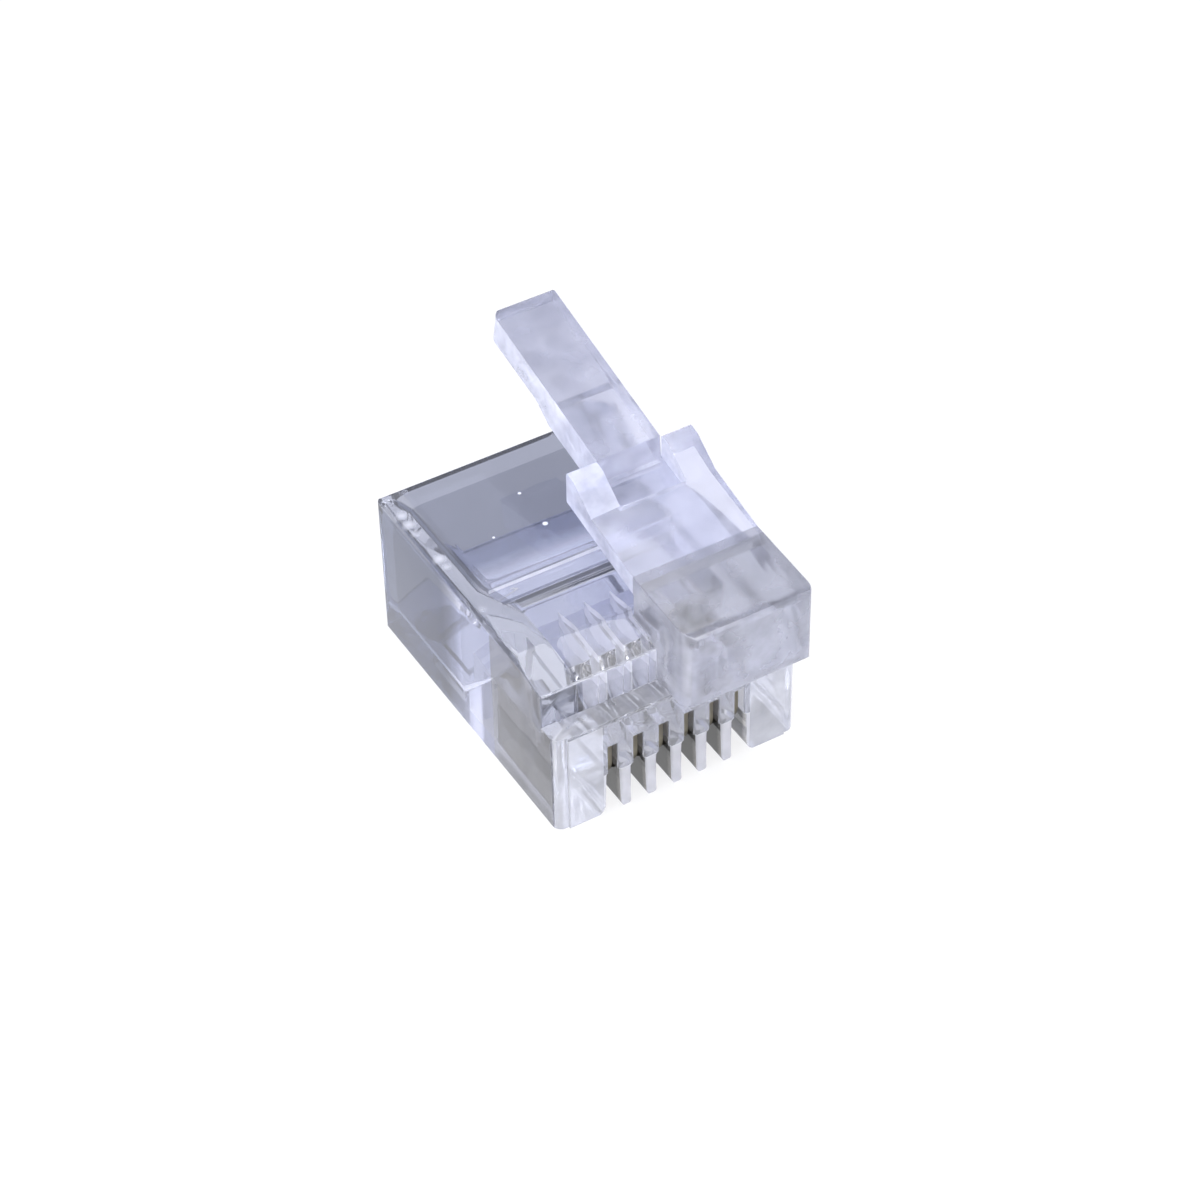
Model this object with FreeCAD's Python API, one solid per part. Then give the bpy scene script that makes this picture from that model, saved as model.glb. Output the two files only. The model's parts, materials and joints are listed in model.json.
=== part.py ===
import FreeCAD, Part
import os
from math import cos, hypot, radians, sin, tan

from FreeCAD import Vector

# Six-position modular plug with an offset latch, unterminated, in millimetres.
# It lies with its contact side down. While it is built, y = 0 is the nose face and the cable
# leaves towards +Y; x = 0 is the middle of the housing and z = 0 is the contact side.

# Housing, outside
housing_width = 9.65
housing_length = 12.50
housing_height = 6.04
nose_top_height = 5.65
ramp_start = 2.88
ledge_height = 4.24
ledge_depth = 0.95
front_left_radius = 0.38
front_right_radius = 0.25
rear_corner_radius = 0.22
rear_top_radius = 0.20
top_left_radius = 0.30
bottom_right_radius = 0.30
nose_step_inset = 0.47
nose_step_depth = 0.10
edge_round = 0.10

# Contacts and the slots that hold them
contact_count = 6
contact_pitch = 1.02
contact_offset = -0.07
blade_thickness = 0.36
blade_front = 0.39
blade_length = 4.60
blade_crown_height = 1.00
blade_top_height = 2.95
blade_front_radius = 0.95
blade_rear_radius = 0.30
tine_count = 2
tine_width = 0.56
tine_notch_depth = 0.50
tine_notch_width = 0.62
slot_side_clearance = 0.01
slot_top_clearance = 0.15
slot_mouth_width = 0.56
slot_mouth_height = 1.80
slot_mouth_taper = 0.05
fin_tip_radius = 0.17
pillar_tip_radius = 0.42

# Conductor chamber and its comb of pointed dividers
chamber_front = 2.05
chamber_rear = 5.05
chamber_floor_height = 3.00
chamber_roof_height = 5.00
divider_width = 0.28
divider_tip = 4.46
divider_point_length = 0.80

# Cable cavity, funnel and mouth
cavity_width = 7.70
cavity_floor = 0.85
cavity_roof_height = 5.06
cavity_corner_radius = 0.50
cavity_front = 7.00
chamber_corner_radius = 0.15
mouth_depth = 0.70
mouth_flare = 0.28

# Transverse rib under the roof, where the funnel begins
rib_front = 5.70
rib_length = 0.95
rib_drop = 0.30

# Wire clamp: a bar on a thin web, in a window of the contact side
clamp_setback = 0.20
clamp_window_length = 1.85
clamp_window_width = 6.00
clamp_gap = 0.15
clamp_bar_length = 0.80
clamp_height = 2.55
web_thickness = 0.22

# Cable anchor: a tongue on a thin web, in the cavity floor
anchor_setback = 0.35
anchor_window_length = 2.35
anchor_window_width = 5.60
anchor_gap = 0.20

# Latch: root block, lever, locking shoulders and thumb tab
latch_width = 5.00
latch_side_inset = 0.09
block_overhang = 1.00
block_rear = 2.50
block_front_height = 7.54
block_left_radius = 0.62
block_right_radius = 0.25
block_top_radius = 0.45
block_bottom_radius = 0.28
hinge_height = 6.93
lever_angle = 12.3
plate_thickness = 0.77
shoulder_start = 2.93
shoulder_crest = 4.22
shoulder_end = 4.46
shoulder_width = 1.18
shoulder_height = 1.30
pocket_floor = 0.36
tab_length = 12.15
tab_width = 2.55
tab_root_drop = 0.16
tab_root_height = 1.26
tab_thin_start = 7.90
tab_thin_end = 8.80
tab_tip_lift = 0.23
tab_tip_height = 1.43
tab_left_radius = 0.45
tab_right_radius = 0.15
tab_end_radius = 0.25

# Sizes that follow from those above
half_width = housing_width / 2
blade_rear = blade_front + blade_length
slot_width = blade_thickness + 2 * slot_side_clearance
slot_top = blade_top_height + slot_top_clearance
slot_rear = blade_rear + slot_side_clearance
chamber_width = contact_count * contact_pitch
clamp_window_front = chamber_rear + clamp_setback
clamp_window_rear = clamp_window_front + clamp_window_length
anchor_window_front = clamp_window_rear + anchor_setback
anchor_window_rear = anchor_window_front + anchor_window_length
latch_right = half_width - latch_side_inset
latch_left = latch_right - latch_width
reach = 2.0
tiny = 1e-6


def outline(corners, place):
    """Closed wire through corners (u, v, radius); place turns (u, v) into a point."""
    count = len(corners)
    starts, ends, arcs = [], [], []
    for i, (u, v, radius) in enumerate(corners):
        pu, pv = corners[i - 1][:2]
        nu, nv = corners[(i + 1) % count][:2]
        into, away = hypot(pu - u, pv - v), hypot(nu - u, nv - v)
        a = ((pu - u) / into, (pv - v) / into)
        b = ((nu - u) / away, (nv - v) / away)
        half = hypot(a[0] + b[0], a[1] + b[1]) / 2
        if radius == 0 or half < tiny:
            starts.append((u, v))
            ends.append((u, v))
            arcs.append(None)
            continue
        side = hypot(a[0] - b[0], a[1] - b[1]) / 2
        back = radius * half / side
        middle = radius / side - radius
        inward = ((a[0] + b[0]) / (2 * half), (a[1] + b[1]) / (2 * half))
        starts.append((u + a[0] * back, v + a[1] * back))
        ends.append((u + b[0] * back, v + b[1] * back))
        arcs.append((u + inward[0] * middle, v + inward[1] * middle))
    edges = []
    for i in range(count):
        if arcs[i]:
            edges.append(Part.Arc(place(*starts[i]), place(*arcs[i]), place(*ends[i])).toShape())
        first, last = place(*ends[i]), place(*starts[(i + 1) % count])
        if first.distanceToPoint(last) > tiny:
            edges.append(Part.LineSegment(first, last).toShape())
    return Part.Wire(edges)


def side_prism(corners, left, right):
    """Profile of (y, z, radius) corners, pushed across the width."""
    face = Part.Face(outline(corners, lambda y, z: Vector(left, y, z)))
    return face.extrude(Vector(right - left, 0, 0))


def plan_prism(corners, bottom, top):
    """Outline of (x, y, radius) corners, raised from bottom to top."""
    face = Part.Face(outline(corners, lambda x, y: Vector(x, y, bottom)))
    return face.extrude(Vector(0, 0, top - bottom))


def front_prism(corners, front, rear):
    """Section of (x, z, radius) corners, pushed from front to rear."""
    face = Part.Face(outline(corners, lambda x, z: Vector(x, front, z)))
    return face.extrude(Vector(0, rear - front, 0))


def rectangle(low_u, low_v, high_u, high_v, radius=0.0):
    return [(low_u, low_v, radius), (high_u, low_v, radius), (high_u, high_v, radius), (low_u, high_v, radius)]


def section(y, middle, width, low, high, radius):
    """Rounded rectangular wire across the plug at y."""
    corners = rectangle(middle - width / 2, low, middle + width / 2, high, radius)
    return outline(corners, lambda x, z: Vector(x, y, z))


def contact_places():
    first = contact_offset - (contact_count - 1) / 2 * contact_pitch
    return [first + i * contact_pitch for i in range(contact_count)]


def housing_body():
    """Outer block: plan, side and end outlines cut from each other, so every edge is rounded."""
    inset = half_width - nose_step_inset
    plan = [
        (-half_width, housing_length, rear_corner_radius),
        (half_width, housing_length, rear_corner_radius),
        (half_width, nose_step_depth, front_right_radius),
        (inset, nose_step_depth, 0),
        (inset, 0, nose_step_depth / 3),
        (-inset, 0, nose_step_depth / 3),
        (-inset, nose_step_depth, 0),
        (-half_width, nose_step_depth, front_left_radius),
    ]
    side = [
        (0, 0, edge_round / 2),
        (housing_length, 0, edge_round),
        (housing_length, housing_height, rear_top_radius),
        (ramp_start, housing_height, 0),
        (ledge_depth, nose_top_height, edge_round),
        (ledge_depth, ledge_height, 0),
        (0, ledge_height, edge_round),
    ]
    end = [
        (-half_width, 0, edge_round / 2),
        (half_width, 0, bottom_right_radius),
        (half_width, housing_height, edge_round),
        (-half_width, housing_height, top_left_radius),
    ]
    body = plan_prism(plan, 0, housing_height)
    body = body.common(side_prism(side, -half_width, half_width))
    return body.common(front_prism(end, 0, housing_length))


def latch_block():
    """Root of the latch: a rounded block on the ledge that stands out past the nose face."""
    root_top = hinge_height + plate_thickness / cos(radians(lever_angle))
    seat = ledge_height - ledge_depth
    side = [
        (-block_overhang, ledge_height, block_bottom_radius),
        (0, ledge_height, 0),
        (ledge_depth / 2, seat, 0),
        (block_rear, seat, 0),
        (block_rear, root_top, 0),
        (-block_overhang, block_front_height, block_top_radius),
    ]
    plan = [
        (latch_left, -block_overhang, block_left_radius),
        (latch_right, -block_overhang, block_right_radius),
        (latch_right, block_rear, 0),
        (latch_left, block_rear, 0),
    ]
    block = side_prism(side, latch_left, latch_right)
    return block.common(plan_prism(plan, 0, root_top + reach))


def cable_space():
    """Flared mouth, cable cavity, and the funnel that leads the wires to the comb."""
    narrow = (0, cavity_width, cavity_floor, cavity_roof_height, cavity_corner_radius)
    wide = (0, cavity_width + 2 * mouth_flare, cavity_floor - mouth_flare,
            cavity_roof_height + mouth_flare, cavity_corner_radius + mouth_flare)
    mouth = Part.makeLoft([section(housing_length - mouth_depth, *narrow),
                           section(housing_length, *wide)], True, True)
    cavity = front_prism(rectangle(-cavity_width / 2, cavity_floor, cavity_width / 2, cavity_roof_height,
                                   cavity_corner_radius), cavity_front, housing_length - mouth_depth)
    throat = (contact_offset, chamber_width, chamber_floor_height, chamber_roof_height, chamber_corner_radius)
    funnel = Part.makeLoft([section(chamber_rear, *throat), section(cavity_front, *narrow)], True, True)
    rib = side_prism([
        (rib_front, cavity_roof_height + reach, 0),
        (rib_front, cavity_roof_height - rib_drop, rib_drop / 2),
        (rib_front + rib_length, cavity_roof_height - rib_drop, rib_drop),
        (rib_front + rib_length, cavity_roof_height + reach, 0),
    ], -half_width, half_width)
    return mouth.fuse(cavity).fuse(funnel.cut(rib))


def wire_chamber():
    """One wire channel above each contact, parted by dividers that are pointed at the rear."""
    left = contact_offset - chamber_width / 2
    chamber = front_prism(rectangle(left, chamber_floor_height, left + chamber_width, chamber_roof_height),
                          chamber_front, chamber_rear)
    half = divider_width / 2
    shank = divider_tip - divider_point_length
    for i in range(1, contact_count):
        x = left + i * contact_pitch
        divider = plan_prism([
            (x - half, 0, 0), (x + half, 0, 0), (x + half, shank, 0), (x, divider_tip, 0), (x - half, shank, 0),
        ], 0, housing_height)
        chamber = chamber.cut(divider)
    return chamber


def slot_half(tip_radius):
    """Right half of a slot's section: narrow where it grips, wide below, rounded at the fin tip."""
    grip = slot_width / 2
    mouth = slot_mouth_width / 2
    tip = mouth + slot_mouth_taper
    flare = tip + tip_radius * 1.01
    return [(grip, slot_top, 0), (grip, slot_mouth_height + mouth - grip, 0), (mouth, slot_mouth_height, 0),
            (tip, 0, tip_radius), (flare, 0, 0), (flare, -tip_radius, 0)]


def contact_slot(x, left_radius, right_radius):
    """Slot for one blade, between two fins or between a fin and a corner pillar."""
    left = [(-u, v, radius) for u, v, radius in reversed(slot_half(left_radius))]
    corners = [(x + u, v, radius) for u, v, radius in slot_half(right_radius) + left]
    return front_prism(corners, -reach, slot_rear)


def wire_clamp():
    """Window in the contact side and the bar that hangs in it from a web at its front."""
    half = clamp_window_width / 2
    window = plan_prism(rectangle(-half, clamp_window_front, half, clamp_window_rear), -reach, chamber_floor_height)
    rear = clamp_window_rear - clamp_gap
    front = rear - clamp_bar_length
    bar = side_prism([
        (front, edge_round, edge_round),
        (rear, edge_round, edge_round),
        (rear, clamp_height, 2 * edge_round),
        (front, clamp_height, 0),
        (clamp_window_front - clamp_gap, clamp_height, 0),
        (clamp_window_front - clamp_gap, clamp_height - web_thickness, 0),
        (front, clamp_height - web_thickness, 0),
    ], clamp_gap - half, half - clamp_gap)
    return window, bar


def cable_anchor():
    """Window in the cavity floor and the tongue that swings in it on a web at its rear."""
    half = anchor_window_width / 2
    window = plan_prism(rectangle(-half, anchor_window_front, half, anchor_window_rear, anchor_gap),
                        -reach, cavity_floor + edge_round)
    front = anchor_window_front + anchor_gap
    rear = anchor_window_rear - anchor_gap
    web_low = (cavity_floor - web_thickness) / 2
    tongue = side_prism([
        (front, edge_round, edge_round),
        (rear - web_low, edge_round, 0),
        (rear, web_low, 0),
        (anchor_window_rear + anchor_gap, web_low, 0),
        (anchor_window_rear + anchor_gap, web_low + web_thickness, 0),
        (rear, web_low + web_thickness, 0),
        (rear - web_low, cavity_floor, 0),
        (front, cavity_floor, edge_round),
    ], anchor_gap - half, half - anchor_gap)
    return window, tongue


def housing():
    shape = housing_body().fuse(latch_block())
    shape = shape.cut(cable_space()).cut(wire_chamber())
    tips = [pillar_tip_radius] + [fin_tip_radius] * (contact_count - 1) + [pillar_tip_radius]
    for i, x in enumerate(contact_places()):
        shape = shape.cut(contact_slot(x, tips[i], tips[i + 1]))
    for window, tongue in (wire_clamp(), cable_anchor()):
        shape = shape.cut(window).fuse(tongue)
    return shape.removeSplitter()


def contact(x):
    """Stamped blade: rounded crown for the jack's springs, tines for the wire above."""
    top, notch = blade_top_height, blade_top_height - tine_notch_depth
    corners = [
        (blade_front, top, 0),
        (blade_front, blade_crown_height, blade_front_radius),
        (blade_rear, blade_crown_height, blade_rear_radius),
        (blade_rear, top, 0),
    ]
    step = tine_width + tine_notch_width
    comb_length = tine_count * step + tine_notch_width
    comb_rear = (blade_front + blade_rear + comb_length) / 2
    for i in range(tine_count + 1):
        rear = comb_rear - i * step
        front = rear - tine_notch_width
        point = tine_width / 4
        corners += [(rear + (point if i else 0), top, 0), (rear, notch, 0),
                    (front, notch, 0), (front - (point if i < tine_count else 0), top, 0)]
    half = blade_thickness / 2
    return side_prism(corners, x - half, x + half)


def latch_lever():
    """Sprung lever, drawn flat from its hinge line and then turned up to its angle."""
    def along(corners, left, right):
        raised = [(block_rear + u, hinge_height + v, radius) for u, v, radius in corners]
        return side_prism(raised, left, right)

    lean = tan(radians(lever_angle))
    left, right = latch_left, latch_right
    crest_end = shoulder_end + shoulder_height * lean
    plate = along([
        (0, 0, 0), (plate_thickness * lean, plate_thickness, 0), (shoulder_start, plate_thickness, 0),
        (shoulder_crest, shoulder_height, edge_round), (crest_end, shoulder_height, edge_round),
        (shoulder_end, 0, 0),
    ], left, right)
    pocket = along(rectangle(shoulder_start, pocket_floor, shoulder_end + reach, shoulder_height + reach),
                   left + shoulder_width, right - shoulder_width)
    side = [
        (shoulder_crest, 0, 0),
        (shoulder_end, -tab_root_drop, 0),
        (tab_thin_start, -tab_root_drop, 0),
        (tab_thin_end, tab_tip_lift, 0),
        (tab_length, tab_tip_lift, tab_end_radius),
        (tab_length, tab_tip_height, edge_round),
        (crest_end, tab_root_height, 0),
        (shoulder_end, pocket_floor, 0),
        (shoulder_crest, pocket_floor, 0),
    ]
    middle = (left + right) / 2
    left, right = middle - tab_width / 2, middle + tab_width / 2
    plan = [
        (left, block_rear, 0), (right, block_rear, 0),
        (right, block_rear + tab_length, tab_right_radius), (left, block_rear + tab_length, tab_left_radius),
    ]
    tab = along(side, left, right).common(plan_prism(plan, 0, hinge_height + reach))
    lever = plate.cut(pocket).fuse(tab).removeSplitter()
    lever.rotate(Vector(0, block_rear, hinge_height), Vector(1, 0, 0), lever_angle)
    return lever


# Stand the plug over the middle of its own length
angle = radians(lever_angle)
tip_rear = block_rear + tab_length * cos(angle) - tab_tip_lift * sin(angle)
to_middle = Vector(0, (block_overhang - tip_rear) / 2, 0)

nodes = {"housing": housing(), "latch_lever": latch_lever()}
for number, x in enumerate(contact_places(), start=1):
    nodes["contact_%d" % number] = contact(x)

os.makedirs("parts", exist_ok=True)
for name, shape in nodes.items():
    shape.translate(to_middle)
    shape.exportStep("parts/%s.step" % name)
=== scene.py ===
import json
from math import radians

import bmesh
import bpy
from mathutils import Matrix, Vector


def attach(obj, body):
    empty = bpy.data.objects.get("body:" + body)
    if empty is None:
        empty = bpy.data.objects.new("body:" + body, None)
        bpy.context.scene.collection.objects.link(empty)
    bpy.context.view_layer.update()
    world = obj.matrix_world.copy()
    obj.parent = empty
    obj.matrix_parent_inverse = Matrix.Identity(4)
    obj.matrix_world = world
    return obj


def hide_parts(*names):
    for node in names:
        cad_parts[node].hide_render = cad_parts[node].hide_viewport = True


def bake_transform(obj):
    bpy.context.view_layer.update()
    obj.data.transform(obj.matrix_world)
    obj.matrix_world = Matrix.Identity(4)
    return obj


MM = 0.001

# Places on the plug, in millimetres: x from its middle, y from the nose face, z from the contact side
NOSE = 6.661  # from the frame's origin to the nose face
HALF_WIDTH = 4.825
ROOF = 6.04
RAMP_REAR = 2.88
RAMP_FACING = Vector((0, -0.198, 0.980))
LEDGE_DEPTH = 0.95
FUNNEL_FRONT, FUNNEL_REAR = 5.05, 7.00
STRIP_FRONT, STRIP_REAR = -3.40, -3.92
RISER_LEFT = -3.20
WALL_FRONT_END = 4.4
FINS_LEFT, FINS_RIGHT = -3.0, 2.9
FIN_TOP = 1.85
COMB_MIDDLE = 4.5
FAR = 99
ANY = (-FAR, FAR)

# Softening of the edges: widths and reaches in millimetres, angles in radians
EDGE_SOFT = 0.05
FIN_SOFT = 0.13
SOFT_STEPS = 3
SOFT_ANGLE = radians(35)
SHARP_ANGLE = radians(30)
FIN_EDGE_LENGTH = 1.0
FIN_EDGE_TOP = 1.95
FIN_EDGE_REACH = 2.7

# How close counts as the same: millimetres on a face, metres for joined and cut points
ON_FACE = 0.02
LEVEL = 0.99  # cosine between a plane and a face on it
WELD = 2e-6
CUT_GRIP = 1e-8
FLAT_ANGLE = radians(1.0)

# Root of the lever, in millimetres
BEND_STEP = 0.1
BEND_CUTS = 12
ROOT_DEPTH = 0.5

# Surface of the materials: noise scales per metre, and the range that the noise mostly keeps to
CLOUD_SCALE = 900.0
RIPPLE_SCALE = 1600.0
GRAIN_SCALE = 3000.0
NOISE_LOW, NOISE_HIGH = 0.3, 0.7
RIPPLE_DEPTH = 0.05
PLASTIC_IOR = 1.58
SHADOW_TINT = (0.86, 0.87, 0.92, 1)

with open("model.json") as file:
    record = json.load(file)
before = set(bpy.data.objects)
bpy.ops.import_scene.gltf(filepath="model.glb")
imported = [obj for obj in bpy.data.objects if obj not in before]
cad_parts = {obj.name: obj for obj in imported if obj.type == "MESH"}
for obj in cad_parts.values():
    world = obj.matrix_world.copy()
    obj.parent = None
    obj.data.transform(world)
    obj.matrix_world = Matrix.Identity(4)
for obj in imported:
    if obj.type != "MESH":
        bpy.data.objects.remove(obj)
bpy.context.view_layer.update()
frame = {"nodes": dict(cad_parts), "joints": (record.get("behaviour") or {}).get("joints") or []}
nodes = frame["nodes"]
hinge = Vector(frame["joints"][0]["pos_m"])


def point(x, y, z):
    """Place in the scene of a point given in millimetres from the middle of the nose face's lower edge."""
    return Vector((x, y - NOSE, z)) * MM


def within(spot, xs, ys, zs):
    """Whether a spot in millimetres is inside three ranges; the right end of xs may depend on y."""
    x, y, z = spot
    right = xs[1](y) if callable(xs[1]) else xs[1]
    return xs[0] < x < right and ys[0] < y < ys[1] and zs[0] < z < zs[1]


def shader(name, finish, *values):
    """New node material; finish(tree, output, ...) builds it."""
    material = bpy.data.materials.new(name)
    material.use_nodes = True
    tree = material.node_tree
    tree.nodes.clear()
    finish(tree, tree.nodes.new("ShaderNodeOutputMaterial"), *values)
    return material


def node(tree, kind, **settings):
    """Adds a node; a setting names an attribute, or an input socket's value."""
    made = tree.nodes.new(kind)
    for key, value in settings.items():
        if hasattr(made, key):
            setattr(made, key, value)
        else:
            made.inputs[key.replace("_", " ")].default_value = value
    return made


def place(tree):
    """Object coordinates, in metres."""
    return node(tree, "ShaderNodeTexCoord").outputs["Object"]


def noise(tree, scale, detail=3.0):
    """Soft noise over the surface."""
    made = node(tree, "ShaderNodeTexNoise", Scale=scale, Detail=detail)
    tree.links.new(place(tree), made.inputs["Vector"])
    return made.outputs["Fac"]


def between(tree, value, from_low, from_high, low, high, smooth="LINEAR"):
    """Value turned from one range into another."""
    made = node(tree, "ShaderNodeMapRange", interpolation_type=smooth)
    made.inputs["From Min"].default_value = from_low
    made.inputs["From Max"].default_value = from_high
    made.inputs["To Min"].default_value = low
    made.inputs["To Max"].default_value = high
    tree.links.new(value, made.inputs["Value"])
    return made.outputs["Result"]


def spread(tree, value, low, high):
    """Noise spread over a range."""
    return between(tree, value, NOISE_LOW, NOISE_HIGH, low, high)


def mixed(tree, share, low, high):
    """Colour between two colours."""
    made = node(tree, "ShaderNodeMix", data_type="RGBA")
    made.inputs[6].default_value = (*low, 1)
    made.inputs[7].default_value = (*high, 1)
    tree.links.new(share, made.inputs[0])
    return made.outputs[2]


def maths(tree, operation, first, second):
    """Two values, sockets or numbers, put together."""
    made = node(tree, "ShaderNodeMath", operation=operation)
    for socket, value in zip(made.inputs, (first, second)):
        if isinstance(value, float):
            socket.default_value = value
        else:
            tree.links.new(value, socket)
    return made.outputs[0]


def blended(tree, share, first, second):
    """Two shaders mixed by a share."""
    made = node(tree, "ShaderNodeMixShader")
    tree.links.new(share, made.inputs[0])
    tree.links.new(first.outputs[0], made.inputs[1])
    tree.links.new(second.outputs[0], made.inputs[2])
    return made


def lengthwise(tree, stops):
    """Colour by distance from the nose face; stops are (millimetres, colour), in order."""
    first, last = stops[0][0], stops[-1][0]
    parts = node(tree, "ShaderNodeSeparateXYZ")
    tree.links.new(place(tree), parts.inputs[0])
    share = between(tree, parts.outputs["Y"], (first - NOSE) * MM, (last - NOSE) * MM, 0, 1)
    made = node(tree, "ShaderNodeValToRGB")
    ramp = made.color_ramp
    ramp.interpolation = "EASE"
    for i, (y, colour) in enumerate(stops):
        if i in (0, len(stops) - 1):
            element = ramp.elements[0 if i == 0 else -1]
        else:
            element = ramp.elements.new((y - first) / (last - first))
        element.color = (*colour, 1)
    tree.links.new(share, made.inputs[0])
    return made.outputs["Color"]


def plastic(tree, output, stops, rough, milky, mottle, ripple, marks=()):
    """Clear plastic with some milkiness; stops are (millimetres from the nose face, tint, haze)."""
    clear = node(tree, "ShaderNodeBsdfPrincipled", IOR=PLASTIC_IOR)
    clear.inputs["Transmission Weight"].default_value = 1.0
    cloudy = node(tree, "ShaderNodeBsdfPrincipled", Roughness=0.5)
    cloudy.inputs["Base Color"].default_value = (*milky, 1)
    cloud = noise(tree, CLOUD_SCALE)
    tint = lengthwise(tree, [(y, colour) for y, colour, haze in stops])
    haze = lengthwise(tree, [(y, (haze, haze, haze)) for y, colour, haze in stops])
    haze = maths(tree, "MULTIPLY", haze, spread(tree, cloud, 1 - mottle, 1 + mottle))
    for x, y, z, radius, core, white in marks:
        far = node(tree, "ShaderNodeVectorMath", operation="DISTANCE")
        far.inputs[1].default_value = point(x, y, z)
        tree.links.new(place(tree), far.inputs[0])
        mark = between(tree, far.outputs["Value"], radius * core * MM, radius * MM, white, 0.0, "SMOOTHSTEP")
        haze = maths(tree, "MAXIMUM", haze, mark)
    waves = node(tree, "ShaderNodeBump", Strength=ripple, Distance=RIPPLE_DEPTH * MM)
    tree.links.new(noise(tree, RIPPLE_SCALE, detail=4.0), waves.inputs["Height"])
    tree.links.new(waves.outputs[0], clear.inputs["Normal"])
    tree.links.new(tint, clear.inputs["Base Color"])
    tree.links.new(spread(tree, cloud, *rough), clear.inputs["Roughness"])
    through = node(tree, "ShaderNodeBsdfTransparent", Color=SHADOW_TINT)
    rays = node(tree, "ShaderNodeLightPath").outputs
    lit = blended(tree, rays["Is Shadow Ray"], blended(tree, haze, clear, cloudy), through)
    tree.links.new(lit.outputs[0], output.inputs["Surface"])


def metal(tree, output, colour, worn, rough):
    """Plated metal with a fine grain."""
    body = node(tree, "ShaderNodeBsdfPrincipled", Metallic=1.0)
    grain = noise(tree, GRAIN_SCALE)
    tree.links.new(mixed(tree, grain, colour, worn), body.inputs["Base Color"])
    tree.links.new(spread(tree, grain, *rough), body.inputs["Roughness"])
    tree.links.new(body.outputs[0], output.inputs["Surface"])


def matt(tree, output, low, high, scale, glow):
    """Pale floor that keeps part of the shadow, and is white to the eye, through plastic and in metal."""
    body = node(tree, "ShaderNodeBsdfPrincipled", Roughness=0.8)
    tree.links.new(mixed(tree, noise(tree, scale), low, high), body.inputs["Base Color"])
    white = node(tree, "ShaderNodeEmission", Strength=1.0)
    rays = node(tree, "ShaderNodeLightPath").outputs
    seen = maths(tree, "MAXIMUM", rays["Is Camera Ray"], rays["Is Glossy Ray"])
    seen = maths(tree, "MAXIMUM", seen, rays["Is Transmission Ray"])
    lit = blended(tree, maths(tree, "MULTIPLY", seen, glow), body, white)
    tree.links.new(lit.outputs[0], output.inputs["Surface"])


# Places with too many short edges for softening, as ranges of x, y and z
CROWDED = [
    ((-4.0, 4.0), (3.4, 7.6), (-FAR, 5.2)),    # chamber, funnel and clamp
    (ANY, ANY, (-FAR, 0.6)),                   # underside
    ((-FAR, 0.2), (-FAR, 0.5), (3.6, 4.7)),    # ledge and the latch block's lower left corner
    ((4.2, FAR), (-FAR, 0.5), (3.6, 4.7)),     # latch block's lower right corner
    (ANY, (6.0, 7.6), (7.2, FAR)),             # latch shoulders
    (ANY, (12.2, FAR), ANY),                   # rear mouth and the end of the thumb tab
]


def crowded(corner):
    """Whether a corner of the mesh is in a crowded place."""
    spot = (corner.co - point(0, 0, 0)) / MM
    return any(within(spot, *box) for box in CROWDED)


def on_fin(edge):
    """Whether an edge is an upright front edge of a fin."""
    if edge.calc_length() <= FIN_EDGE_LENGTH * MM:
        return False
    return all(abs(corner.co.y + NOSE * MM) < ON_FACE * MM and abs(corner.co.x) < FIN_EDGE_REACH * MM
               and corner.co.z < FIN_EDGE_TOP * MM for corner in edge.verts)


def moulding():
    """Housing and latch lever as the one moulding they are, with the edges softened where there is room."""
    whole = bpy.data.objects.new("moulding", nodes["housing"].data.copy())
    bpy.context.scene.collection.objects.link(whole)
    bpy.context.view_layer.objects.active = whole
    join = whole.modifiers.new("join", "BOOLEAN")
    join.operation = "UNION"
    join.solver = "EXACT"
    join.object = nodes["latch_lever"]
    bpy.ops.object.modifier_apply(modifier=join.name)
    mesh = bmesh.new()
    mesh.from_mesh(whole.data)
    bmesh.ops.remove_doubles(mesh, verts=mesh.verts, dist=WELD)
    bmesh.ops.dissolve_limit(mesh, angle_limit=FLAT_ANGLE, verts=mesh.verts, edges=mesh.edges)
    softness = mesh.edges.layers.float.new("bevel_weight_edge")
    for edge in mesh.edges:
        edge.smooth = True
        if not edge.is_manifold or edge.calc_face_angle() < SOFT_ANGLE:
            continue
        if on_fin(edge):
            edge[softness] = 1.0
        elif not any(crowded(corner) for corner in edge.verts):
            edge[softness] = EDGE_SOFT / FIN_SOFT
    mesh.to_mesh(whole.data)
    mesh.free()
    soft = whole.modifiers.new("soft", "BEVEL")
    soft.width = FIN_SOFT * MM
    soft.segments = SOFT_STEPS
    soft.limit_method = "WEIGHT"
    soft.use_clamp_overlap = False
    bpy.ops.object.modifier_apply(modifier=soft.name)
    for corner in whole.data.vertices:
        corner.co.x = max(corner.co.x, -HALF_WIDTH * MM)
    return whole


def divide(mesh, faces, at, across):
    """Cuts some faces in two at a plane, so that each part can have its own finish."""
    around = list(dict.fromkeys(part for face in faces for part in [*face.verts, *face.edges]))
    bmesh.ops.bisect_plane(mesh, geom=around + faces, dist=CUT_GRIP, plane_co=at, plane_no=across)


def flat(mesh, on, facing, front=-FAR, rear=FAR):
    """Faces that lie on a plane, between two distances from the nose face."""
    found = []
    for face in mesh.faces:
        middle = face.calc_center_median()
        level = face.normal.dot(facing) > LEVEL and abs((middle - on).dot(facing)) < ON_FACE * MM
        if level and point(0, front, 0).y < middle.y < point(0, rear, 0).y:
            found.append(face)
    return found


def strip_edge(y):
    """Right edge of the roof's strip over the left wall, which widens beside the funnel."""
    share = min(max((FUNNEL_REAR - y) / (FUNNEL_REAR - FUNNEL_FRONT), 0), 1)
    return STRIP_REAR + share * (STRIP_FRONT - STRIP_REAR)


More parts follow.
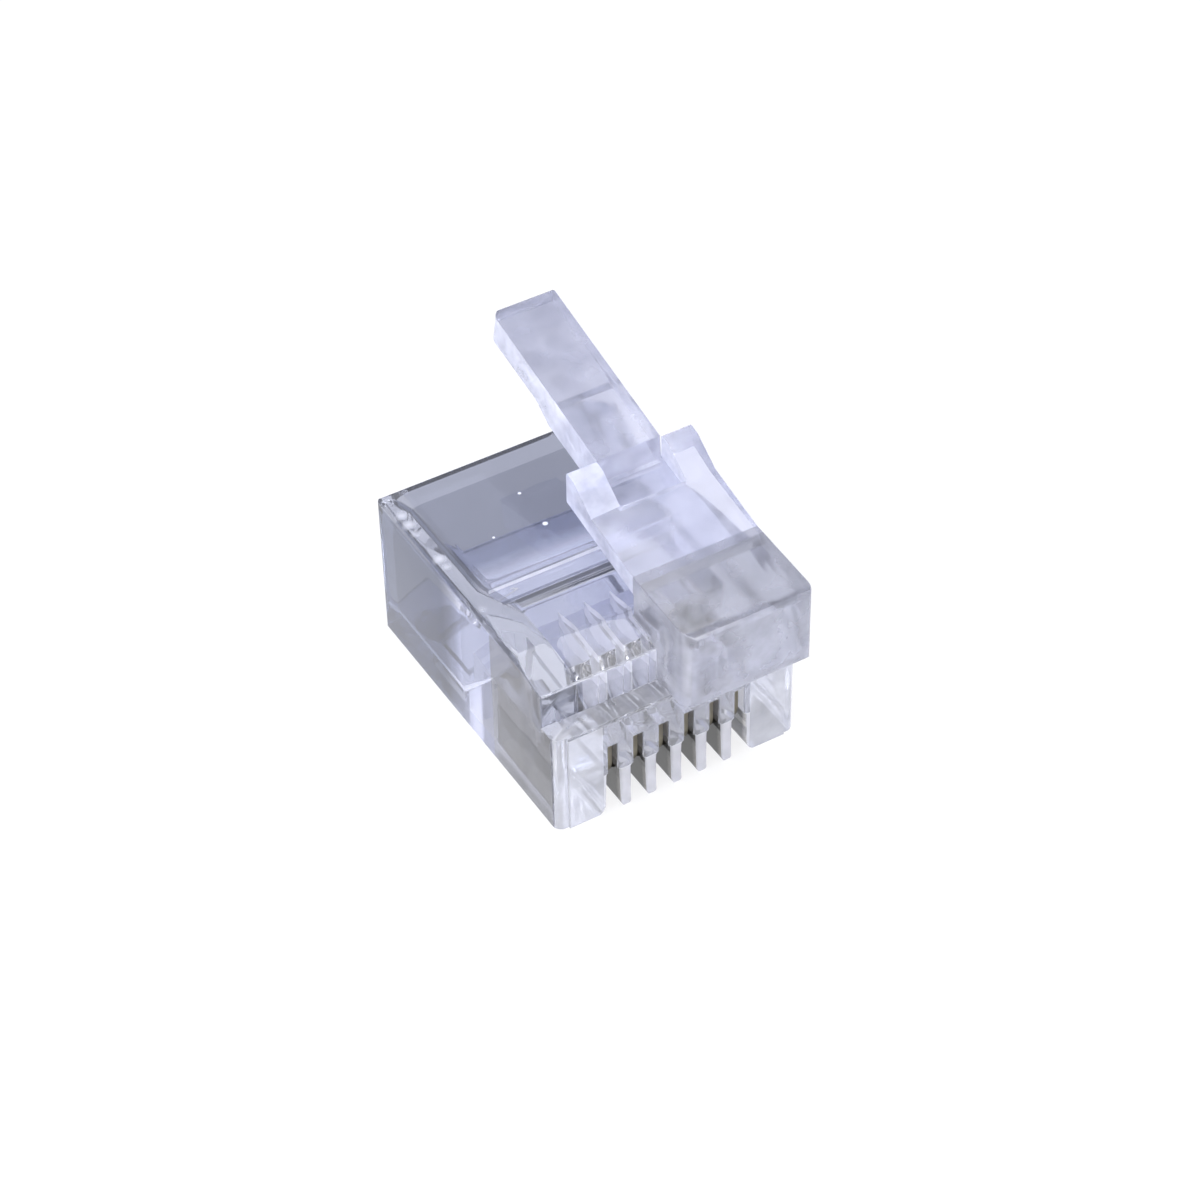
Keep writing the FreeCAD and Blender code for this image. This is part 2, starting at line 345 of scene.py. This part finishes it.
# Comb of dividers, as ranges of x, y and z, and the least that its side faces turn sideways
COMB = (-2.97, 2.83), (2.0, 4.6), (2.9, 5.1)
COMB_TURN = 0.3


def divide_by_finish(mesh):
    """Cuts the housing's large faces where their finish changes."""
    sideways, lengthways, upright = (1, 0, 0), (0, 1, 0), (0, 0, 1)
    roof = point(0, RAMP_REAR, ROOF), Vector(upright)
    ramp = point(0, RAMP_REAR, ROOF), RAMP_FACING
    left = point(-HALF_WIDTH, 0, 0), Vector((-1, 0, 0))
    front = point(0, 0, 0), Vector((0, -1, 0))
    riser = point(0, LEDGE_DEPTH, 0), Vector((0, -1, 0))
    along_strip = FUNNEL_REAR - FUNNEL_FRONT, STRIP_FRONT - STRIP_REAR, 0
    divide(mesh, flat(mesh, *roof), point(0, FUNNEL_REAR, 0), lengthways)
    divide(mesh, flat(mesh, *roof), point(0, FUNNEL_FRONT, 0), lengthways)
    divide(mesh, flat(mesh, *roof, rear=FUNNEL_FRONT), point(STRIP_FRONT, 0, 0), sideways)
    beside_funnel = flat(mesh, *roof, front=FUNNEL_FRONT, rear=FUNNEL_REAR)
    divide(mesh, beside_funnel, point(STRIP_REAR, FUNNEL_REAR, 0), along_strip)
    divide(mesh, flat(mesh, *roof, front=FUNNEL_REAR), point(STRIP_REAR, 0, 0), sideways)
    divide(mesh, flat(mesh, *ramp), point(STRIP_FRONT, 0, 0), sideways)
    divide(mesh, flat(mesh, *riser), point(RISER_LEFT, 0, 0), sideways)
    divide(mesh, flat(mesh, *left), point(0, WALL_FRONT_END, 0), lengthways)
    divide(mesh, flat(mesh, *front), point(0, 0, FIN_TOP), upright)
    divide(mesh, flat(mesh, *front), point(FINS_LEFT, 0, 0), sideways)
    divide(mesh, flat(mesh, *front), point(FINS_RIGHT, 0, 0), sideways)
    comb = [face for face in mesh.faces if abs(face.normal.x) > COMB_TURN
            and within((face.calc_center_median() - point(0, 0, 0)) / MM, *COMB)]
    divide(mesh, comb, point(0, 0, COMB_MIDDLE), upright)


def split(whole):
    """Parts the moulding at the latch root into a plug piece and a lever piece, with cuts across the lever's
    root.
    """
    pieces = []
    for name, lever in (("plug_moulding", False), ("latch_moulding", True)):
        mesh = bmesh.new()
        mesh.from_mesh(whole.data)
        for i in range(BEND_CUTS + 1 if lever else 1):
            bmesh.ops.bisect_plane(mesh, geom=mesh.verts[:] + mesh.edges[:] + mesh.faces[:], dist=CUT_GRIP,
                                   plane_co=hinge + Vector((0, BEND_STEP * MM * i, 0)), plane_no=(0, 1, 0))
        gone = []
        for face in mesh.faces:
            middle = face.calc_center_median()
            on_lever = middle.y > hinge.y and middle.z > hinge.z - ROOT_DEPTH * MM
            if on_lever != lever:
                gone.append(face)
        bmesh.ops.delete(mesh, geom=gone, context="FACES")
        if not lever:
            divide_by_finish(mesh)
        data = bpy.data.meshes.new(name)
        mesh.to_mesh(data)
        mesh.free()
        piece = bpy.data.objects.new(name, data)
        bpy.context.scene.collection.objects.link(piece)
        for polygon in data.polygons:
            polygon.use_smooth = True
        data.set_sharp_from_angle(angle=SHARP_ANGLE)
        pieces.append(piece)
    bpy.data.objects.remove(whole)
    return pieces


# Where the finishes are: ranges of x, y and z, and of how far a face turns sideways (across),
# lengthways (along), up or down (up), up only (top) or left only (left). The first region that holds
# a face counts.
PLUG_REGIONS = [
    # Top faces of the latch block get a darker copy of its frosted finish: painted shade
    ("frosted_top_painted_shade", (-0.30, 4.7795), (-FAR, 1.95), (4.2, FAR), {"top": (0.7, FAR)}),
    ("frosted_top_painted_shade", (-0.30, 4.7795), (-FAR, 2.52), (5.1, FAR), {"top": (0.7, FAR)}),
    ("frosted_root", (-0.30, 4.7795), (-FAR, 1.95), (4.2, FAR), {}),
    ("frosted_root", (-0.30, 4.7795), (-FAR, 2.52), (5.1, FAR), {}),
    # Upper halves of the comb's side faces get a whiter copy: painted highlight on the ridges
    ("comb_painted_highlight", COMB[0], COMB[1], (COMB_MIDDLE, COMB[2][1]), {"across": (COMB_TURN, FAR)}),
    ("comb_side", *COMB, {"across": (COMB_TURN, FAR)}),
    # Front faces of the fins get a milky white copy of the plastic: painted light on the lit fronts
    ("fin_front_painted_light", (-3.05, 3.05), (-FAR, 0.2), (-FAR, 1.86), {}),
    ("ledge_plastic", ANY, (-FAR, 1.0), (-FAR, 4.3), {"up": (0.9, FAR)}),
    ("nose_plastic", (-3.0, 3.0), (-FAR, 0.3), (-FAR, 4.3), {}),
    ("pillar_plastic", ANY, (-FAR, 0.3), (-FAR, 4.3), {}),
    ("nose_wall", (RISER_LEFT, FAR), (-FAR, 1.1), (4.2, FAR), {}),
    ("strip_plastic", ANY, (-FAR, 1.1), (4.2, FAR), {}),
    # Side faces of the fins, which darken inwards from the front edge: painted shade in the slots
    ("fin_side_painted_shade", (-3.3, 3.3), (-FAR, 4.9), (-FAR, 1.9), {"across": (0.6, FAR)}),
    ("clamp_plastic", (-2.93, 2.93), (4.9, 7.12), (-FAR, 3.1), {"up": (-FAR, 0.6)}),
    # Sides of the clamp windows: painted shade, with a painted bright band where the post shows through
    ("window_side_painted_shade_and_light", (-3.06, -2.93), (5.2, 7.12), (-FAR, 3.0), {}),
    ("window_side_painted_shade_and_light", (2.93, 3.06), (5.2, 7.12), (-FAR, 3.0), {}),
    ("under_plastic", ANY, ANY, (-FAR, 2.9995), {"up": (0.6, FAR)}),
    ("wall_plastic", (-FAR, -4.75), (WALL_FRONT_END, FAR), ANY, {"across": (0.9, FAR)}),
    ("wall_front", (-FAR, -4.75), ANY, ANY, {"across": (0.9, FAR)}),
    # Rounded edges of the rib under the roof take the comb's whiter finish: painted highlight
    ("comb_painted_highlight", (-3.85, 3.85), (5.65, 6.68), (4.7, FAR), {"up": (0.35, 0.80), "along": (0.3, FAR)}),
    ("funnel_plastic", (-4.0, 4.0), (5.0, 7.05), ANY, {"up": (-FAR, 0.8)}),
    ("funnel_plastic", (-FAR, -2.9), (2.0, 5.1), (2.9, 5.1), {}),
    ("strip_plastic", (-FAR, strip_edge), (1.1, FAR), (5.6, FAR), {}),
    ("mouth_plastic", (-4.3, 4.3), (11.75, 12.46), (0.3, 5.5), {}),
    ("clear_plastic", ANY, ANY, ANY, {}),
]
LEVER_REGIONS = [
    # Left part of the lever between 5 and 7.4 mm and all its left-facing faces get a paler copy: painted
    # light on the lit side
    ("lever_side_painted_light", (-FAR, 0.95), (5.0, 7.4), ANY, {}),
    ("lever_side_painted_light", ANY, ANY, ANY, {"left": (0.7, FAR)}),
    ("lever_plastic", ANY, ANY, ANY, {}),
]


def finish_of(face, regions):
    """Which finish a face has."""
    spot = (face.center - point(0, 0, 0)) / MM
    across, along, up = (abs(share) for share in face.normal)
    turns = {"across": across, "along": along, "up": up, "top": face.normal.z, "left": -face.normal.x}
    for name, xs, ys, zs, facing in regions:
        if within(spot, xs, ys, zs) and all(low < turns[way] < high for way, (low, high) in facing.items()):
            return name


def even(tint, haze):
    """The same finish from end to end."""
    return [(0, tint, haze), (10, tint, haze)]


LAVENDER = (0.78, 0.80, 0.94)
WHITE = (0.93, 0.93, 0.97)
PALE = (0.58, 0.59, 0.66)
# Painted shade for the rear of the roof, where shadowed ground shows through
PAINTED_SHADE_DARK = (0.22, 0.235, 0.31)
# Painted shade for the rear of the left wall
PAINTED_SHADE_DIM = (0.048, 0.060, 0.120)
SHADE = (0.12, 0.12, 0.15)
BLUISH = (0.64, 0.66, 0.84)
GREYISH = (0.84, 0.86, 0.97)
COOL = (0.82, 0.84, 1.0)
# Painted shade deep in the fin slots
PAINTED_SHADE_BLACK = (0.04, 0.04, 0.04)
LEVER_ROOT = (0.58, 0.59, 0.69)
# White specks on the roof and soft scuffs on its left edge: place and radius in millimetres, share of
# the radius that is fully white, whiteness
SPECKS = [
    (-0.389, 10.015, ROOF, 0.08, 0.6, 0.95),
    (-0.435, 8.127, ROOF, 0.12, 0.6, 0.95),
    (-2.337, 8.433, ROOF, 0.06, 0.6, 0.95),
]
SCUFFS = [
    (-4.50, 11.15, 6.0, 0.45, 0.0, 0.35),
    (-4.52, 10.60, 6.0, 0.40, 0.0, 0.45),
    (-4.52, 10.05, 6.0, 0.35, 0.0, 0.30),
    (-4.48, 8.45, 6.0, 0.40, 0.0, 0.42),
    (-4.47, 7.95, 6.0, 0.30, 0.0, 0.30),
    (-4.50, 5.4, 6.0, 0.35, 0.0, 0.20),
]
# Each finish: tint and haze along the length, range of roughness, colour of the milkiness, mottling,
# ripple and, on two of them, marks
PLUG_FINISHES = {
    # The clear plastic turns dark from 7.6 mm back: painted shade of the shadowed ground seen through the
    # roof
    "clear_plastic": ([(0, PALE, 0.03), (5.2, PALE, 0.03), (5.6, PALE, 0.05), (6.9, PALE, 0.05),
                       (7.6, PAINTED_SHADE_DARK, 0.02), (12.5, PAINTED_SHADE_DARK, 0.02)], (0.0, 0.02), LAVENDER, 0.25, 0.03, SPECKS),
    "frosted_root": (even((0.35, 0.36, 0.42), 0.22), (0.18, 0.24), (0.77, 0.78, 0.89), 0.3, 0.15),
    # Painted shade: darker tint than frosted_root for the block's top faces
    "frosted_top_painted_shade": (even((0.21, 0.217, 0.265), 0.16), (0.18, 0.24), (0.71, 0.72, 0.84), 0.3, 0.15),
    # Painted highlight on the comb's ridges and the rib's edges
    "comb_painted_highlight": (even((0.90, 0.90, 0.93), 0.70), (0.02, 0.06), WHITE, 0.2, 0.05),
    "comb_side": (even((0.86, 0.87, 0.92), 0.28), (0.02, 0.06), WHITE, 0.2, 0.05),
    # Painted light: milky white fin fronts against the dark fin sides
    "fin_front_painted_light": (even((0.85, 0.85, 0.88), 0.65), (0.02, 0.06), (0.62, 0.62, 0.67), 0.1, 0.05),
    "nose_plastic": (even((0.52, 0.53, 0.58), 0.18), (0.02, 0.08), (0.80, 0.81, 0.88), 0.15, 0.08),
    "pillar_plastic": (even((0.84, 0.85, 0.91), 0.31), (0.02, 0.08), (0.90, 0.91, 0.97), 0.15, 0.08),
    "ledge_plastic": (even((0.31, 0.32, 0.36), 0.26), (0.03, 0.12), (0.72, 0.73, 0.80), 0.3, 0.10),
    "nose_wall": (even((0.72, 0.73, 0.79), 0.18), (0.0, 0.05), (0.86, 0.87, 0.96), 0.3, 0.05),
    # Fin sides: pale at the front edge, black from 0.35 mm in: painted light at the edge, painted shade in
    # the slot
    "fin_side_painted_shade": ([(0, (0.8, 0.8, 0.82), 0.4), (0.10, (0.36, 0.34, 0.31), 0.10), (0.35, PAINTED_SHADE_BLACK, 0.0),
                  (5.0, PAINTED_SHADE_BLACK, 0.0)], (0.02, 0.06), (0.6, 0.58, 0.55), 0.2, 0.05),
    "clamp_plastic": (even((0.90, 0.90, 0.93), 0.80), (0.02, 0.06), WHITE, 0.2, 0.05),
    # Painted shade at both ends and a painted bright band between 6.2 and 6.9 mm
    "window_side_painted_shade_and_light": ([(5.2, SHADE, 0.0), (6.0, SHADE, 0.0), (6.2, WHITE, 0.30), (6.9, WHITE, 0.30),
                     (7.1, SHADE, 0.0)], (0.0, 0.03), WHITE, 0.2, 0.05),
    "under_plastic": (even((0.83, 0.85, 0.95), 0.14), (0.0, 0.03), (0.82, 0.85, 1.0), 0.2, 0.08),
    # The left wall turns dark towards the rear: painted shade of the shadowed ground seen through it
    "wall_plastic": ([(0, BLUISH, 0.09), (6.0, BLUISH, 0.09), (8.0, PAINTED_SHADE_DIM, 0.01), (12.5, PAINTED_SHADE_DIM, 0.01)],
                     (0.0, 0.02), (0.70, 0.75, 1.0), 0.25, 0.03),
    "wall_front": (even((0.23, 0.23, 0.25), 0.08), (0.06, 0.14), LAVENDER, 0.25, 0.05),
    "funnel_plastic": (even((0.32, 0.33, 0.37), 0.04), (0.0, 0.03), (0.86, 0.87, 0.96), 0.2, 0.05),
    "strip_plastic": (even((0.24, 0.25, 0.30), 0.06), (0.0, 0.05), GREYISH, 0.3, 0.10, SCUFFS),
    "mouth_plastic": (even((0.45, 0.47, 0.55), 0.07), (0.0, 0.05), GREYISH, 0.3, 0.05),
}
LEVER_FINISHES = {
    "lever_plastic": ([(2, LEVER_ROOT, 0.16), (6, LEVER_ROOT, 0.16), (8, (0.52, 0.53, 0.63), 0.16),
                       (11, (0.29, 0.30, 0.39), 0.14), (15, (0.26, 0.27, 0.36), 0.14)],
                      (0.05, 0.14), COOL, 0.45, 0.05),
    # Painted light: paler, milkier copy of the lever plastic for its lit left side
    "lever_side_painted_light": (even((0.66, 0.68, 0.80), 0.35), (0.05, 0.16), COOL, 0.4, 0.25),
}
plug, latch = split(moulding())
for piece, replaced, finishes, regions in ((plug, "housing", PLUG_FINISHES, PLUG_REGIONS),
                                           (latch, "latch_lever", LEVER_FINISHES, LEVER_REGIONS)):
    piece.data.materials.clear()
    for name, values in finishes.items():
        piece.data.materials.append(shader(name, plastic, *values))
    names = list(finishes)
    for face in piece.data.polygons:
        finish = finish_of(face, regions)
        face.material_index = names.index(finish)
        face.use_smooth = finish != "fin_side_painted_shade"
    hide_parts(replaced)
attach(plug, "plug")
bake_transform(latch)
# Gold plating kept dark: partly the plating's colour, partly painted shade of the slots
plating = shader("contact_gold", metal, (0.25, 0.23, 0.18), (0.35, 0.32, 0.25), (0.34, 0.50))
for name, cad in nodes.items():
    if name.startswith("contact"):
        cad.data.materials.clear()
        cad.data.materials.append(plating)

# Pale floor, its size in metres, a hair (in millimetres) below the part so that no faces coincide
FLOOR_SIZE = 2.0
FLOOR_DROP = 0.02
FLOOR_COLOURS = (0.88, 0.88, 0.89), (0.91, 0.91, 0.92)
FLOOR_NOISE = 60.0
FLOOR_GLOW = 0.75
bpy.ops.mesh.primitive_plane_add(size=FLOOR_SIZE)
floor = bpy.context.object
floor.name = "floor"
floor.location.z = -FLOOR_DROP * MM
floor.data.materials.append(shader("pale_floor", matt, *FLOOR_COLOURS, FLOOR_NOISE, FLOOR_GLOW))

# Soft studio light: place and size in millimetres, and power in watts
LAMPS = {
    "key": ((-130, -40, 90), 110, 0.16),
    "front": ((10, -150, 60), 90, 0.10),
    "top": ((0, 30, 160), 110, 0.10),
}
LAMP_AIM = (0, 0, 4)
for name, (spot, size, power) in LAMPS.items():
    data = bpy.data.lights.new(name, "AREA")
    data.shape = "SQUARE"
    data.size = size * MM
    data.energy = power
    lamp = bpy.data.objects.new(name, data)
    bpy.context.scene.collection.objects.link(lamp)
    lamp.location = Vector(spot) * MM
    lamp.rotation_euler = (Vector(LAMP_AIM) * MM - lamp.location).to_track_quat("-Z", "Y").to_euler()

# Surroundings that grow brighter upwards
HORIZON = (0.42, 0.43, 0.48)
ZENITH = (0.85, 0.86, 0.90)
BRIGHT_FROM = 0.8
world = bpy.data.worlds.new("studio")
bpy.context.scene.world = world
world.use_nodes = True
sky = world.node_tree
heading = node(sky, "ShaderNodeTexCoord")
parts = node(sky, "ShaderNodeSeparateXYZ")
sky.links.new(heading.outputs["Generated"], parts.inputs[0])
height = between(sky, parts.outputs["Z"], 0.0, BRIGHT_FROM, 0, 1, "SMOOTHSTEP")
sky.links.new(mixed(sky, height, HORIZON, ZENITH), sky.nodes["Background"].inputs["Color"])

# Camera at the photo's viewing angle: place in millimetres, turn in degrees
CAMERA_PLACE = (-43.877, -77.146, 83.940)
CAMERA_TURN = (47.742, 0.911, -30.938)
lens = bpy.data.cameras.new("camera")
lens.lens = 102.0
lens.sensor_width = 36.0
lens.clip_start = 0.01
camera = bpy.data.objects.new("camera", lens)
bpy.context.scene.collection.objects.link(camera)
camera.location = Vector(CAMERA_PLACE) * MM
camera.rotation_euler = [radians(turn) for turn in CAMERA_TURN]
bpy.context.scene.camera = camera
bpy.context.scene.view_settings.view_transform = "Standard"
